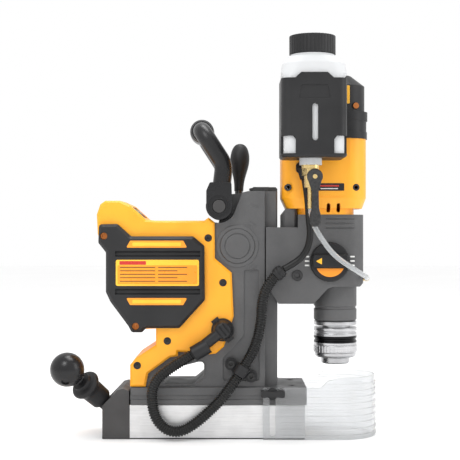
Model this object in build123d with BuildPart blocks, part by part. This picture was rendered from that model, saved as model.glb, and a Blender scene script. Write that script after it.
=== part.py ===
"""Magnetic drill press: a cordless core drill on a rack-fed slide, over a switchable magnet base.

Frame: origin at the centre of the magnet's bottom face, +X towards the drill, +Z up, mm.
"""
import os
from math import atan2, cos, degrees, pi, radians, sin, sqrt, tan

from build123d import *

os.makedirs("parts", exist_ok=True)

# ---------------------------------------------------------------- driving dimensions
base_rear, base_front = -100.0, 102.0      # magnet base, along X
base_half = 40.0                           # half of the 80 mm wide base
magnet_height, base_top = 39.0, 59.0
rotor_z, rotor_r = 19.0, 13.5              # switchable magnet, turning about X
column_half, rail_half = 36.0, 26.0
rail_back, rail_front = 54.0, 69.0
column_top = 283.0
slot_half, slot_neck = 13.8, 9.0           # T slot that holds the slide
feed_x, feed_z, feed_r = 22.8, 220.0, 16.0  # feed pinion axis (along Y) and pitch radius
tooth_pitch = 2 * pi * feed_r / 16
spindle_x = 138.0                          # spindle axis, in the Y = 0 plane
spindle_axis = Axis((spindle_x, 0, 0), (0, 0, 1))
spindle_section = Plane(origin=(spindle_x, 0, 0), x_dir=(1, 0, 0), z_dir=(0, -1, 0))
knob_place = (62.6, 53.0)                  # thumb nuts that hold the guard, along Y
stud_r, stud_end = 2.95, 50.4              # their studs, out to |Y| = stud_end
gap = 0.4                                  # clearance between parts that move
wall = 3.0                                 # moulded wall
housing_half = 42.0                        # half width of the rear housing
bay_half = 36.5                            # half width of the battery bay
lever_root = Vector(-112, 0, rotor_z)      # where the magnet lever leaves the rotor's axis
lever_tip = Vector(-168, -62, 82)          # centre of its ball knob
lever_lean = degrees(atan2(62, 63))        # lean from upright, each way
handle_x, handle_z = 1.9, 265.2            # carry handle pivot (along Y)


def side(y):
    """Sketch plane facing -Y at depth y: local x is X, local y is Z."""
    return Plane.XZ.offset(-y)


def finish(piece, name):
    piece.part.label = name
    export_step(piece.part, f"parts/{name}.step")


# ---------------------------------------------------------------- magnet base
with BuildPart() as magnet_poles:
    with BuildSketch(Plane.YZ.offset(base_rear)):
        with Locations((-21.5, magnet_height / 2)):
            Rectangle(37, magnet_height)
        with Locations((0, rotor_z)):
            Circle(rotor_r + gap, mode=Mode.SUBTRACT)
    extrude(amount=199.8)
    chamfer(magnet_poles.edges().filter_by(Axis.X).group_by(Axis.Y)[0], 0.8)
    mirror(about=Plane.XZ)
finish(magnet_poles, "magnet_poles")

# brass strip that keeps the two steel poles apart, above and below the rotor
with BuildPart() as pole_spacer:
    with BuildSketch(Plane.YZ.offset(base_rear)):
        with Locations((0, magnet_height / 2)):
            Rectangle(6, magnet_height)
        with Locations((0, rotor_z)):
            Circle(rotor_r + gap, mode=Mode.SUBTRACT)
    extrude(amount=188)
    with BuildSketch(Plane.YZ.offset(88)):
        with Locations((0, magnet_height / 2)):
            Rectangle(6, magnet_height)
    extrude(amount=11.8)
finish(pole_spacer, "pole_spacer")

with BuildPart() as magnet_rotor:
    with BuildSketch(Plane.YZ.offset(-98)):
        with Locations((0, rotor_z)):
            Circle(rotor_r)
    extrude(amount=184)
    with BuildSketch(Plane.YZ.offset(-124)):
        with Locations((0, rotor_z)):
            Circle(5.5)
    extrude(amount=26)
finish(magnet_rotor, "magnet_rotor")

# cast cover over the magnet, with a rolled band along each side and a bolting pad in front
with BuildPart() as base_housing:
    with BuildSketch(side(-base_half)):
        with Locations(((base_rear + base_front) / 2, (magnet_height + base_top) / 2)):
            Rectangle(base_front - base_rear, base_top - magnet_height)
    extrude(amount=-2 * base_half)
    fillet(base_housing.edges().filter_by(Axis.Z), 3)
    fillet(base_housing.faces().sort_by(Axis.Z)[-1].edges(), 1.2)
    for y in (-base_half, base_half):
        with BuildSketch(side(y)):
            with Locations((0, 47.4)):
                SlotOverall(230, 5.6)
        extrude(amount=1.4, both=True, mode=Mode.SUBTRACT)
    with BuildSketch(Plane.XY.offset(base_top)):
        with Locations((86, 24), (86, -24)):
            Circle(4.5)
    extrude(amount=-3, mode=Mode.SUBTRACT)
    with BuildSketch(side(-base_half)):
        with Locations(knob_place):
            Circle(3)
    extrude(amount=-2 * base_half, mode=Mode.SUBTRACT)
finish(base_housing, "base_housing")

# ---------------------------------------------------------------- rear cap, slotted for the lever
lever_vector = lever_tip - lever_root
lever_length = lever_vector.length
lever_slope = -lever_vector.X / sqrt(lever_vector.Y**2 + lever_vector.Z**2)


def lever_plane(distance, lean=1):
    """Plane square to the lever, this far along it; lean -1 is its other end of travel."""
    direction = Vector(lever_vector.X, lean * lever_vector.Y, lever_vector.Z).normalized()
    return Plane(origin=lever_root + direction * distance, z_dir=direction)


lever_direction = lever_vector.normalized()
lever_across = lever_direction.cross(Vector(0, 0, 1)).normalized()
lever_section = Plane(
    origin=lever_root, x_dir=lever_across, z_dir=lever_across.cross(lever_direction)
)
lever_axis = Axis(lever_root, lever_direction)

with BuildPart() as base_end_cap:
    with BuildSketch(side(-base_half)):
        Polygon(
            (-131.7, 0), (-131.7, 37.5), (-114, 55.8), (-108.5, 57.4), (-87, 51.2),
            (-87, 44.5), (-95, 39.2), (-100.2, 39.2), (-100.2, 0), align=None,
        )
    extrude(amount=-2 * base_half)
    with BuildSketch(side(-base_half)):
        Polygon((-101, 39), (-86, 39), (-86, 60), (-101, 60), align=None)
    extrude(amount=-2 * base_half, mode=Mode.SUBTRACT)
    fillet(base_end_cap.edges().filter_by(Axis.Z).group_by(Axis.X)[0], 2.5)
    # pocket for the hub, then the path that the lever sweeps through from side to side
    with BuildSketch(Plane.YZ.offset(-126)):
        with Locations((0, rotor_z)):
            Circle(16.5)
    extrude(amount=30, mode=Mode.SUBTRACT)
    sweep_plane = Plane(
        origin=lever_root, x_dir=(1, 0, 0), z_dir=Vector(0, -lever_vector.Z, lever_vector.Y)
    )
    half = 13.6
    with BuildSketch(sweep_plane):
        Polygon(
            (half, 0), (half - 60 * lever_slope, 60), (-half * 1.2 - 60 * lever_slope, 60), (-half, 0),
            align=None,
        )
    revolve(
        axis=Axis(lever_root, (1, 0, 0)), revolution_arc=-2 * lever_lean, mode=Mode.SUBTRACT
    )
    for lean in (1, -1):
        with BuildSketch(lever_plane(7, lean)):
            Circle(11.5)
        with BuildSketch(lever_plane(60, lean)):
            Circle(14.8)
        loft(mode=Mode.SUBTRACT)
finish(base_end_cap, "base_end_cap")

# ---------------------------------------------------------------- magnet lever
with BuildPart() as lever_arm:
    with BuildSketch(Plane.YZ.offset(-124)):
        with Locations((0, rotor_z)):
            Circle(15)
            Circle(5.52, mode=Mode.SUBTRACT)
    extrude(amount=23)
    fillet(lever_arm.edges().group_by(Axis.X)[0].sort_by(Edge.length)[-1], 3)
    with BuildSketch(lever_plane(13)):
        Circle(9)
    extrude(amount=23)
    with BuildSketch(lever_plane(36)):
        Circle(4.5)
    extrude(amount=lever_length - 36 - 9.8)
finish(lever_arm, "lever_arm")

# spring-loaded sleeve with a finger ring: it is pulled towards the knob to release the lever
with BuildPart() as lock_collar:
    with BuildSketch(lever_section):
        with BuildLine():
            Polyline((4.6, 38.6), (9.4, 38.6), (12.6, 42.6), (13.3, 63), (15, 66), (16.4, 68.5))
            ThreePointArc((16.4, 68.5), (17.4, 71.5), (15.6, 74.5))
            Polyline((15.6, 74.5), (11.2, 76), (10.6, 80), (4.6, 80), (4.6, 38.6))
        make_face()
    revolve(axis=lever_axis)
finish(lock_collar, "lock_collar")

knob_r, knob_neck = 19.2, 62.0              # ball radius, and where its neck leaves it
with BuildPart() as ball_knob:
    with BuildSketch(lever_section):
        with BuildLine():
            ball = CenterArc((0, lever_length), knob_r, -knob_neck, 90 + knob_neck)
            Polyline(
                ball @ 1, (0, lever_length - 9.6), (4.52, lever_length - 9.6), (4.52, 86.2),
                (9.6, 86.2), ball @ 0,
            )
        make_face()
    revolve(axis=lever_axis)
    with BuildSketch(Plane(origin=lever_tip + Vector(0, -17.4, -14.2), z_dir=(0, -17.4, -14.2))):
        Circle(4.6)
    extrude(amount=-5.5, mode=Mode.SUBTRACT)
finish(ball_knob, "ball_knob")

# ---------------------------------------------------------------- column casting
recess_r = 18.6                              # clearance round the carry handle's hub
rack_x = feed_x + feed_r                     # rack pitch line
slot_back = 36.3
with BuildPart() as column:
    with BuildSketch(side(-column_half)):
        with BuildLine():
            Polyline(
                (handle_x + recess_r, handle_z - 4), (28.6, 281.4), (35.2, column_top),
                (rail_back, column_top), (rail_back, base_top), (-84, base_top), (-84, 70), (-79, 77),
                (-54, 96), (-44, 100), (-3, 100), (-3, handle_z - recess_r + 0.6),
                (handle_x, handle_z - recess_r),
            )
            ThreePointArc(
                (handle_x, handle_z - recess_r),
                (handle_x + recess_r * cos(radians(-50)), handle_z + recess_r * sin(radians(-50))),
                (handle_x + recess_r, handle_z - 4),
            )
        make_face()
    extrude(amount=-2 * column_half)
    # rails in front
    with BuildSketch(Plane.XY.offset(base_top)):
        with Locations(((50 + rail_front) / 2, 0)):
            Rectangle(rail_front - 50, 2 * rail_half)
    extrude(amount=column_top - base_top)
    chamfer(column.faces().sort_by(Axis.X)[-1].edges().filter_by(Axis.Z), 1.5)
    # sunk panel on both flanks, in front of the raised flange
    for y, amount in ((-column_half, -2), (column_half, 2)):
        with BuildSketch(side(y)):
            Polygon(
                (30, 193), (48, 193), (48, 66), (6.1, 66), (6.1, 91.5), (30, 117.5), align=None
            )
            fillet(vertices(), 3)
        extrude(amount=amount, mode=Mode.SUBTRACT)
    # lightening window through the foot
    with BuildSketch(side(-column_half)):
        Polygon((-62, 62), (-27, 62), (-15.4, 71.8), (-15.4, 87.5), (-22, 87.5), (-62, 77), align=None)
        fillet(vertices(), 4)
    extrude(amount=-2 * column_half, mode=Mode.SUBTRACT)
    for y, amount in ((-column_half, -1.2), (column_half, 1.2)):
        with BuildSketch(side(y)):
            Polygon(
                (-64.5, 59.6), (-26, 59.6), (-13, 70.6), (-13, 90), (-22.4, 90), (-64.5, 79), align=None
            )
            fillet(vertices(), 5)
        extrude(amount=amount, mode=Mode.SUBTRACT)
    # lug between the two hubs of the carry handle
    with BuildSketch(side(-19)):
        with Locations((handle_x, handle_z)):
            Circle(14)
        Polygon(
            (handle_x, handle_z - 14), (handle_x - 2, handle_z - 25), (30, handle_z - 25),
            (30, 281), (handle_x, handle_z + 14), align=None,
        )
        with Locations((handle_x, handle_z)):
            Circle(6, mode=Mode.SUBTRACT)
    extrude(amount=-38)
    # T slot for the slide, open in front and at the top
    with BuildSketch(Plane.XY.offset(66)):
        with Locations(((slot_back + 60) / 2, 0)):
            Rectangle(60 - slot_back, 2 * slot_half)
        with Locations((65, 0)):
            Rectangle(12, 2 * slot_neck)
    extrude(amount=230, mode=Mode.SUBTRACT)
    # pinion chamber, bush bores and the seat of the plug
    with BuildSketch(side(-slot_half)):
        with Locations((feed_x, feed_z)):
            Circle(19.4)
    extrude(amount=-2 * slot_half, mode=Mode.SUBTRACT)
    with BuildSketch(side(-column_half)):
        with Locations((feed_x, feed_z)):
            Circle(9.5)
    extrude(amount=-2 * column_half, mode=Mode.SUBTRACT)
    with BuildSketch(side(-column_half)):
        with Locations((feed_x, feed_z)):
            Circle(20.3)
    extrude(amount=-3, mode=Mode.SUBTRACT)
    # raised ring and short ribs round the plug
    with BuildSketch(side(-column_half)):
        with Locations((feed_x, feed_z)):
            Circle(24)
            Circle(20.3, mode=Mode.SUBTRACT)
    extrude(amount=1)
finish(column, "column")

with BuildPart() as feed_plug:
    with BuildSketch(side(-column_half + 3)):
        with Locations((feed_x, feed_z)):
            Circle(20.2)
    extrude(amount=5)
    fillet(feed_plug.edges().group_by(Axis.Y)[0], 1.8)
    with BuildSketch(side(-column_half - 2)):
        with Locations((feed_x, feed_z)):
            Circle(15)
            Circle(13.6, mode=Mode.SUBTRACT)
    extrude(amount=-1, mode=Mode.SUBTRACT)
finish(feed_plug, "feed_plug")

with BuildPart() as feed_bushes:
    for y, length in ((-column_half + 3, 19), (slot_half, column_half - slot_half)):
        with BuildSketch(side(y)):
            with Locations((feed_x, feed_z)):
                Circle(9.5)
                Circle(7.55, mode=Mode.SUBTRACT)
        extrude(amount=-length)
finish(feed_bushes, "feed_bushes")

# ---------------------------------------------------------------- feed shaft, pinion and capstan
shaft_near, shaft_far = -31.0, 60.0
with BuildPart() as feed_shaft:
    with BuildSketch(side(shaft_near)):
        with Locations((feed_x, feed_z)):
            Circle(7.5)
    extrude(amount=shaft_near - shaft_far)
    with BuildSketch(side(-12)):
        with Locations((feed_x, feed_z)):
            Circle(feed_r - 2.9)
            with PolarLocations(feed_r - 3.2, 16):
                Polygon((0, -1.9), (5, -0.7), (5, 0.7), (0, 1.9), align=None)
    extrude(amount=-24)
finish(feed_shaft, "feed_shaft")

# three spokes that lean away from the column, each with a pear-shaped grip
spoke_start, spoke_out = Vector(feed_x, 50, feed_z), 0.21
spoke_length, grip_length = 128.0, 60.0
spoke_root, spoke_r = 11.0, 4.7


def spoke_planes():
    """Section plane of each spoke: local y runs out along the spoke."""
    for angle in (2, 122, 242):
        out = Vector(sin(radians(angle)), spoke_out, cos(radians(angle))).normalized()
        across = Vector(cos(radians(angle)), 0, -sin(radians(angle)))
        yield Plane(origin=spoke_start, x_dir=across, z_dir=across.cross(out)), Axis(spoke_start, out)


with BuildPart() as feed_hub:
    with BuildSketch(side(37)):
        with Locations((feed_x, feed_z)):
            Circle(18)
    extrude(amount=-26)
    fillet(feed_hub.edges().group_by(Axis.Y)[-1], 4)
    with BuildSketch(side(37)):
        with Locations((feed_x, feed_z)):
            Circle(7.52)
    extrude(amount=-23, mode=Mode.SUBTRACT)
    for plane, axis in spoke_planes():
        with BuildSketch(plane):
            with Locations((spoke_r / 2, (spoke_root + spoke_length - 12) / 2)):
                Rectangle(spoke_r, spoke_length - 12 - spoke_root)
        revolve(axis=axis)
finish(feed_hub, "feed_hub")

with BuildPart() as feed_grips:
    for plane, axis in spoke_planes():
        neck = spoke_length - grip_length
        with BuildSketch(plane):
            with BuildLine():
                Spline(
                    (5.6, neck), (7, neck + 15), (11.4, neck + 34), (9.6, neck + 53),
                    (0, spoke_length), tangents=((0, 1), (-1, 0)),
                )
                Polyline(
                    (0, spoke_length), (0, spoke_length - 11.8), (4.72, spoke_length - 11.8),
                    (4.72, neck), (5.6, neck),
                )
            make_face()
        revolve(axis=axis)
finish(feed_grips, "feed_grips")

# ---------------------------------------------------------------- rear housing, in two halves
housing_outline = (
    (-136.5, 234), (-137.6, 256), (-133.5, 267.7), (-127.7, 271.8), (-111.4, 271.8), (-99.8, 266.5),
    (-81.8, 250.2), (-70.8, 249.1), (-15, 249.1), (-10.3, 252.5), (-3.3, 247), (-3, 206.1),
    (16.2, 189.7), (18.5, 140), (7.2, 105.3), (-1.6, 97.7), (-10.2, 96.6), (-44.9, 99.6),
    (-45.2, 94.6), (-54, 93.3), (-79.1, 74.8), (-82, 60), (-99.6, 60), (-99.6, 84.7), (-91.9, 93.3),
    (-70.2, 107.5), (-70.2, 126), (-92, 125), (-98.5, 127.5), (-119.5, 155.5), (-122.6, 167),
    (-122.6, 213), (-133.5, 225.5),
)
battery_top, battery_bottom = 216.0, 141.0


def housing_half_shell():
    """Hollow half of the rear housing, for the near side, with its mouth for the battery."""
    with BuildPart() as half_shell:
        with BuildSketch(side(0)):
            Polygon(*housing_outline, align=None)
        extrude(amount=housing_half)
        chamfer(half_shell.faces().sort_by(Axis.Y)[0].edges(), 2.2)
        with BuildSketch(side(0)):
            Polygon(*housing_outline, align=None)
            offset(amount=-wall, kind=Kind.INTERSECTION, mode=Mode.REPLACE)
        extrude(amount=housing_half - wall, mode=Mode.SUBTRACT)
        # room for the casting that the two halves clasp
        with BuildSketch(side(0)):
            Polygon(
                (-84.3, 50), (-84.3, 70.2), (-79.4, 77.4), (-54.2, 96.3), (-44, 100.3), (-3.3, 100.3),
                (-3.3, 260), (60, 260), (60, 50), align=None,
            )
        extrude(amount=column_half + 0.3, mode=Mode.SUBTRACT)
        with BuildSketch(side(0)):
            with Locations((-125, (battery_top + battery_bottom) / 2)):
                Rectangle(60, battery_top - battery_bottom + 1.6)
        extrude(amount=bay_half, mode=Mode.SUBTRACT)
        # screw bosses sunk in the side
        with BuildSketch(side(-housing_half)):
            with Locations(*housing_screw_places):
                Circle(4.4)
        extrude(amount=-2, mode=Mode.SUBTRACT)
        # sunk face of the hood that takes the control panel
        with BuildSketch(panel_plane.offset(1)):
            Rectangle(2 * panel_half, panel_length)
        extrude(amount=-wall - 2, mode=Mode.SUBTRACT)
    return half_shell.part


housing_screw_places = ((-10.5, 229.3), (6.3, 178.4), (-57, 112), (-91.3, 84))
panel_half, panel_length = 26.0, 19.0
panel_plane = Plane(origin=(-91.2, 0, 258.6), x_dir=(0, 1, 0), z_dir=(16.3, 0, 18))

with BuildPart() as housing_near:
    add(housing_half_shell())
finish(housing_near, "rear_housing_near")

with BuildPart() as housing_far:
    add(mirror(housing_near.part, about=Plane.XZ, mode=Mode.PRIVATE))
finish(housing_far, "rear_housing_far")

# thick bumper cover over each side of the battery bay
cover_outline = (
    (-134.2, 244.8), (-113.5, 245.3), (-97.9, 231.2), (-27.6, 231.2), (-14.8, 220.5), (-14.2, 159),
    (-43, 127.2), (-81, 127.2), (-85, 122.5), (-97, 122.5), (-101, 130), (-121, 157), (-126.2, 168),
    (-126.2, 213), (-134.8, 224),
)
cover_half = housing_half + 10
groove_places, groove_length = ((-67.5, 211.4), (-67.5, 168.6)), 96.0
cover_screw_places = ((-128.4, 231.6), (-92.6, 129.4))


def cover_shell():
    """Near-side bumper cover: bevelled rim, two V grooves, hollow behind."""
    with BuildPart() as cover:
        with BuildSketch(side(-housing_half)):
            Polygon(*cover_outline, align=None)
            fillet(vertices(), 3.6)
        extrude(amount=cover_half - housing_half)
        chamfer(cover.faces().sort_by(Axis.Y)[0].edges(), 3.2)
        for x, z in groove_places:
            with BuildSketch(Plane.YZ.offset(x - groove_length / 2)):
                Polygon(
                    (-cover_half - 1, z - 4.2), (-cover_half + 3, z - 1.4), (-cover_half + 3, z + 1.4),
                    (-cover_half - 1, z + 4.2), align=None,
                )
            extrude(amount=groove_length, mode=Mode.SUBTRACT)
        with BuildSketch(side(-housing_half)):
            with Locations((-66, 190)):
                Rectangle(92, 52)
        extrude(amount=4.5, mode=Mode.SUBTRACT)
        with BuildSketch(side(-cover_half)):
            with Locations(*cover_screw_places):
                Circle(4.2)
        extrude(amount=-5, mode=Mode.SUBTRACT)
    return cover.part


with BuildPart() as battery_covers:
    add(cover_shell())
    mirror(about=Plane.XZ)
finish(battery_covers, "battery_covers")

# ---------------------------------------------------------------- battery bay and controls
battery_length_x = (-120.5, -12.0)
with BuildPart() as battery_pack:
    with BuildSketch(side(-34)):
        Polygon(
            (battery_length_x[1], battery_top), (battery_length_x[1], battery_bottom),
            (-105, battery_bottom), (-116.5, 157), (battery_length_x[0], 167),
            (battery_length_x[0], battery_top), align=None,
        )
    extrude(amount=-68)
    chamfer(battery_pack.edges().filter_by(Axis.Y), 1.5)
    fillet(battery_pack.edges().filter_by(Axis.X), 3)
    for y in (-34, 34):
        with BuildSketch(side(y)):
            with Locations((-60, 196)):
                Rectangle(90, 4)
        extrude(amount=2, both=True, mode=Mode.SUBTRACT)
    with BuildSketch(Plane.YZ.offset(battery_length_x[0])):
        with Locations((0, 202)):
            Rectangle(38, 14)
    extrude(amount=5, mode=Mode.SUBTRACT)
finish(battery_pack, "battery_pack")

with BuildPart() as battery_latch:
    with BuildSketch(Plane.YZ.offset(battery_length_x[0] - 1.5)):
        with Locations((0, 202)):
            RectangleRounded(37, 13, 2)
    extrude(amount=4.3)
    with BuildSketch(Plane.YZ.offset(battery_length_x[0] - 1.5)):
        with GridLocations(6, 1, 5, 1):
            with Locations((0, 202)):
                Rectangle(2, 9)
    extrude(amount=0.8, mode=Mode.SUBTRACT)
finish(battery_latch, "battery_latch")

with BuildPart() as battery_terminal:
    with BuildSketch(Plane.YZ.offset(-11.2)):
        with Locations((0, 180)):
            Rectangle(56, 44)
    extrude(amount=8)
    with BuildSketch(Plane.YZ.offset(-11.2)):
        with Locations((0, 180)):
            with GridLocations(12, 1, 4, 1):
                Rectangle(3, 24)
    extrude(amount=4, mode=Mode.SUBTRACT)
finish(battery_terminal, "battery_terminal")

button_places = ((-11, 0), (11, 0))
button_r = 5.6
with BuildPart() as control_panel:
    with BuildSketch(panel_plane.offset(-wall)):
        Rectangle(2 * panel_half - 0.2, panel_length - 0.2)
        with Locations(*button_places):
            Circle(button_r + gap, mode=Mode.SUBTRACT)
    extrude(amount=2)
    with BuildSketch(panel_plane.offset(-wall - 3.4)):
        Rectangle(2 * panel_half - 0.2, panel_length - 4)
    extrude(amount=1)
finish(control_panel, "control_panel")

for name, place in zip(("start_button", "stop_button"), button_places):
    with BuildPart() as button:
        with BuildSketch(panel_plane.offset(-wall - 0.6)):
            with Locations(place):
                Circle(button_r)
        extrude(amount=4)
    finish(button, name)

# ---------------------------------------------------------------- folding carry handle
hub_r, hub_inner, hub_outer = 15.0, 19.4, 50.0
bail_y, bail_r, grip_place = 40.0, 10.2, (-18.2, 352.6)
with BuildPart() as carry_handle:
    bail_points = [
        (4.5, -bail_y, 288), (7.5, -bail_y, 313), (grip_place[0], -bail_y, grip_place[1]),
        (grip_place[0], bail_y, grip_place[1]), (7.5, bail_y, 313), (4.5, bail_y, 288),
    ]
    with BuildLine():
        FilletPolyline(*bail_points, radius=[24, 16, 16, 24])
    with BuildSketch(Plane(origin=bail_points[0], z_dir=(3, 0, 25))):
        Circle(bail_r)
    sweep()
    # soft sleeve round the middle of the bail
    with BuildSketch(Plane.XY.offset(grip_place[1])):
        with BuildLine():
            profile = [(bail_r - 1, -23), (bail_r + 1.4, -23), (13.6, -19)]
            Polyline(*[(grip_place[0] + r, y) for r, y in profile])
            ThreePointArc(
                (grip_place[0] + 13.6, -19), (grip_place[0] + 14.2, 0), (grip_place[0] + 13.6, 19)
            )
            Polyline(*[(grip_place[0] + r, -y) for r, y in reversed(profile)])
            Line((grip_place[0] + bail_r - 1, 23), (grip_place[0] + bail_r - 1, -23))
        make_face()
    revolve(axis=Axis((grip_place[0], 0, grip_place[1]), (0, 1, 0)))
    for y in (-hub_outer, hub_inner):
        with BuildSketch(side(y)):
            with Locations((handle_x, handle_z)):
                Circle(hub_r)
        extrude(amount=hub_inner - hub_outer)
        with BuildSketch(side(y if y < 0 else 30)):
            Polygon(
                (-12.6, 262), (-12.6, 283), (-8.5, 292.5), (16, 292.5), (16.8, 266), align=None
            )
            fillet(vertices(), 2)
        extrude(amount=-20)
    with BuildSketch(side(-hub_outer + 5)):
        with Locations((handle_x, handle_z)):
            Circle(6.05)
    extrude(amount=-2 * hub_outer + 10, mode=Mode.SUBTRACT)
    for y, amount in ((-hub_outer, -5), (hub_outer, 5)):
        with BuildSketch(side(y)):
            with Locations((handle_x, handle_z)):
                Circle(8)
        extrude(amount=amount, mode=Mode.SUBTRACT)
        with BuildSketch(side(y)):
            with Locations((handle_x, handle_z)):
                Circle(12.2)
                Circle(9.6, mode=Mode.SUBTRACT)
        extrude(amount=amount / 5, mode=Mode.SUBTRACT)
finish(carry_handle, "carry_handle")

with BuildPart() as handle_pin:
    with BuildSketch(side(-hub_outer + 5.2)):
        with Locations((handle_x, handle_z)):
            Circle(5.98)
    extrude(amount=-2 * hub_outer + 10)
    with BuildSketch(side(hub_outer - 4.8)):
        with Locations((handle_x, handle_z)):
            Circle(7.92)
    extrude(amount=-5)
    fillet(handle_pin.edges().group_by(Axis.Y)[-1], 1.2)
finish(handle_pin, "handle_pin")

with BuildPart() as handle_button:
    with BuildSketch(side(-hub_outer + 3)):
        with Locations((handle_x, handle_z)):
            Circle(7.5)
    extrude(amount=4)
    fillet(handle_button.edges().group_by(Axis.Y)[0], 1.2)
finish(handle_button, "handle_button")

# ---------------------------------------------------------------- conduit gland and clamp
conduit_r, cable_r = 6.3, 3.75
gland_centre = Vector(6, -housing_half, 125)
conduit_start, conduit_first = Vector(-27, -53, 98.5), Vector(-59, -54, 80)
gland_out = Vector(-0.78, 0, -0.62).normalized()
with BuildPart() as cable_gland:
    with BuildSketch(Plane(origin=gland_centre, x_dir=(0.62, 0, -0.78), z_dir=(0, -1, 0))):
        Rectangle(31, 9)
        Circle(13)
    extrude(amount=4.5)
    with BuildSketch(Plane(origin=gland_centre + Vector(0, -4.5, 0), x_dir=(1, 0, 0), z_dir=(0, -1, 0))):
        Circle(12)
    extrude(amount=13, taper=14)
    fillet(cable_gland.edges().group_by(Axis.Y)[0], 4)
    stub = Plane(origin=gland_centre + Vector(0, -11, 0), z_dir=gland_out)
    with BuildSketch(stub):
        Circle(6.4)
    extrude(amount=26)
    with BuildSketch(Plane(origin=conduit_start, z_dir=conduit_start - conduit_first)):
        Circle(8.8)
    extrude(amount=19)
    for k in range(3):
        gland_face = gland_centre + Vector(0, -17.6, 0)
        with BuildSketch(Plane(origin=gland_face, x_dir=(0.62, 0, -0.78), z_dir=(0, -1, 0))):
            with Locations((0, -5 + 5 * k)):
                Rectangle(13, 1.6)
        extrude(amount=-1.6, mode=Mode.SUBTRACT)
finish(cable_gland, "cable_gland")

clamp_centre, clamp_along = Vector(27, -48, 78.5), Vector(15, 2, 23.5).normalized()
clamp_across = Vector(0.85, 0, -0.52).normalized()
clamp_seat = column_half + 0.0
with BuildPart() as conduit_clamp:
    with BuildSketch(Plane(origin=clamp_centre - clamp_along * 6, z_dir=clamp_along)):
        Circle(conduit_r + 2)
    extrude(amount=12)
    seat = Plane(
        origin=(clamp_centre.X, -clamp_seat, clamp_centre.Z), x_dir=clamp_across, z_dir=(0, -1, 0)
    )
    with BuildSketch(seat):
        Rectangle(2 * (conduit_r + 2), 12)
    extrude(amount=13)
    with BuildSketch(seat):
        with GridLocations(27, 1, 2, 1):
            Circle(7)
        Rectangle(27, 12)
    extrude(amount=4.5)
    with BuildSketch(Plane(origin=clamp_centre - clamp_along * 20, z_dir=clamp_along)):
        Circle(conduit_r)
    extrude(amount=40, mode=Mode.SUBTRACT)
    with BuildSketch(seat):
        with GridLocations(27, 1, 2, 1):
            Circle(2.6)
    extrude(amount=6, mode=Mode.SUBTRACT)
finish(conduit_clamp, "conduit_clamp")

# every screw head on the frame: housing, covers and base in pairs, studs, then the clamp's two
with BuildPart() as frame_screws:
    for plane, places, head_r, height, socket_r in (
        (side(-housing_half + 2), housing_screw_places, 4.2, 1.5, 2.4),
        (side(-cover_half + 5), cover_screw_places, 3.9, 2, 2.2),
        (Plane.XY.offset(base_top - 3), ((86, -24),), 4.3, 2.6, 2.3),
    ):
        with BuildSketch(plane):
            with Locations(*places):
                Circle(head_r)
        extrude(amount=height)
        with BuildSketch(plane.offset(height)):
            with Locations(*places):
                RegularPolygon(socket_r, 6)
        extrude(amount=-0.6 * height, mode=Mode.SUBTRACT)
    # studs and washers that carry the guard's thumb nuts
    with BuildSketch(side(-base_half + 6)):
        with Locations(knob_place):
            Circle(stud_r)
    extrude(amount=stud_end - base_half + 6)
    with BuildSketch(side(-base_half - 5)):
        with Locations(knob_place):
            Circle(6.4)
    extrude(amount=1.1)
    mirror(about=Plane.XZ)
    with BuildSketch(seat):
        with GridLocations(27, 1, 2, 1):
            Circle(2.58)
    extrude(amount=4.5)
    with BuildSketch(seat.offset(4.5)):
        with GridLocations(27, 1, 2, 1):
            Circle(4.4)
            RegularPolygon(2.2, 6, mode=Mode.SUBTRACT)
    extrude(amount=2.8)
finish(frame_screws, "frame_screws")

# ---------------------------------------------------------------- slide with rack
slide_bottom, slide_top = 141.0, 288.5
with BuildPart() as slide_bar:
    with BuildSketch(Plane.XY.offset(slide_bottom)):
        with Locations(((rack_x + 2.5 + 59.6) / 2, 0)):
            Rectangle(59.6 - rack_x - 2.5, 27)
        with Locations((64.6, 0)):
            Rectangle(10, 17.4)
    extrude(amount=slide_top - slide_bottom)
    with BuildSketch(side(-11)):
        for k in range(-12, 11):
            with Locations((rack_x + 2.5, feed_z + (k + 0.5) * tooth_pitch)):
                Polygon((0, -1.9), (-4.3, -0.9), (-4.3, 0.9), (0, 1.9), align=None)
    extrude(amount=-22)
    chamfer(slide_bar.faces().sort_by(Axis.Z)[-1].edges().sort_by(Axis.X)[-1], 2)
finish(slide_bar, "slide_bar")

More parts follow.
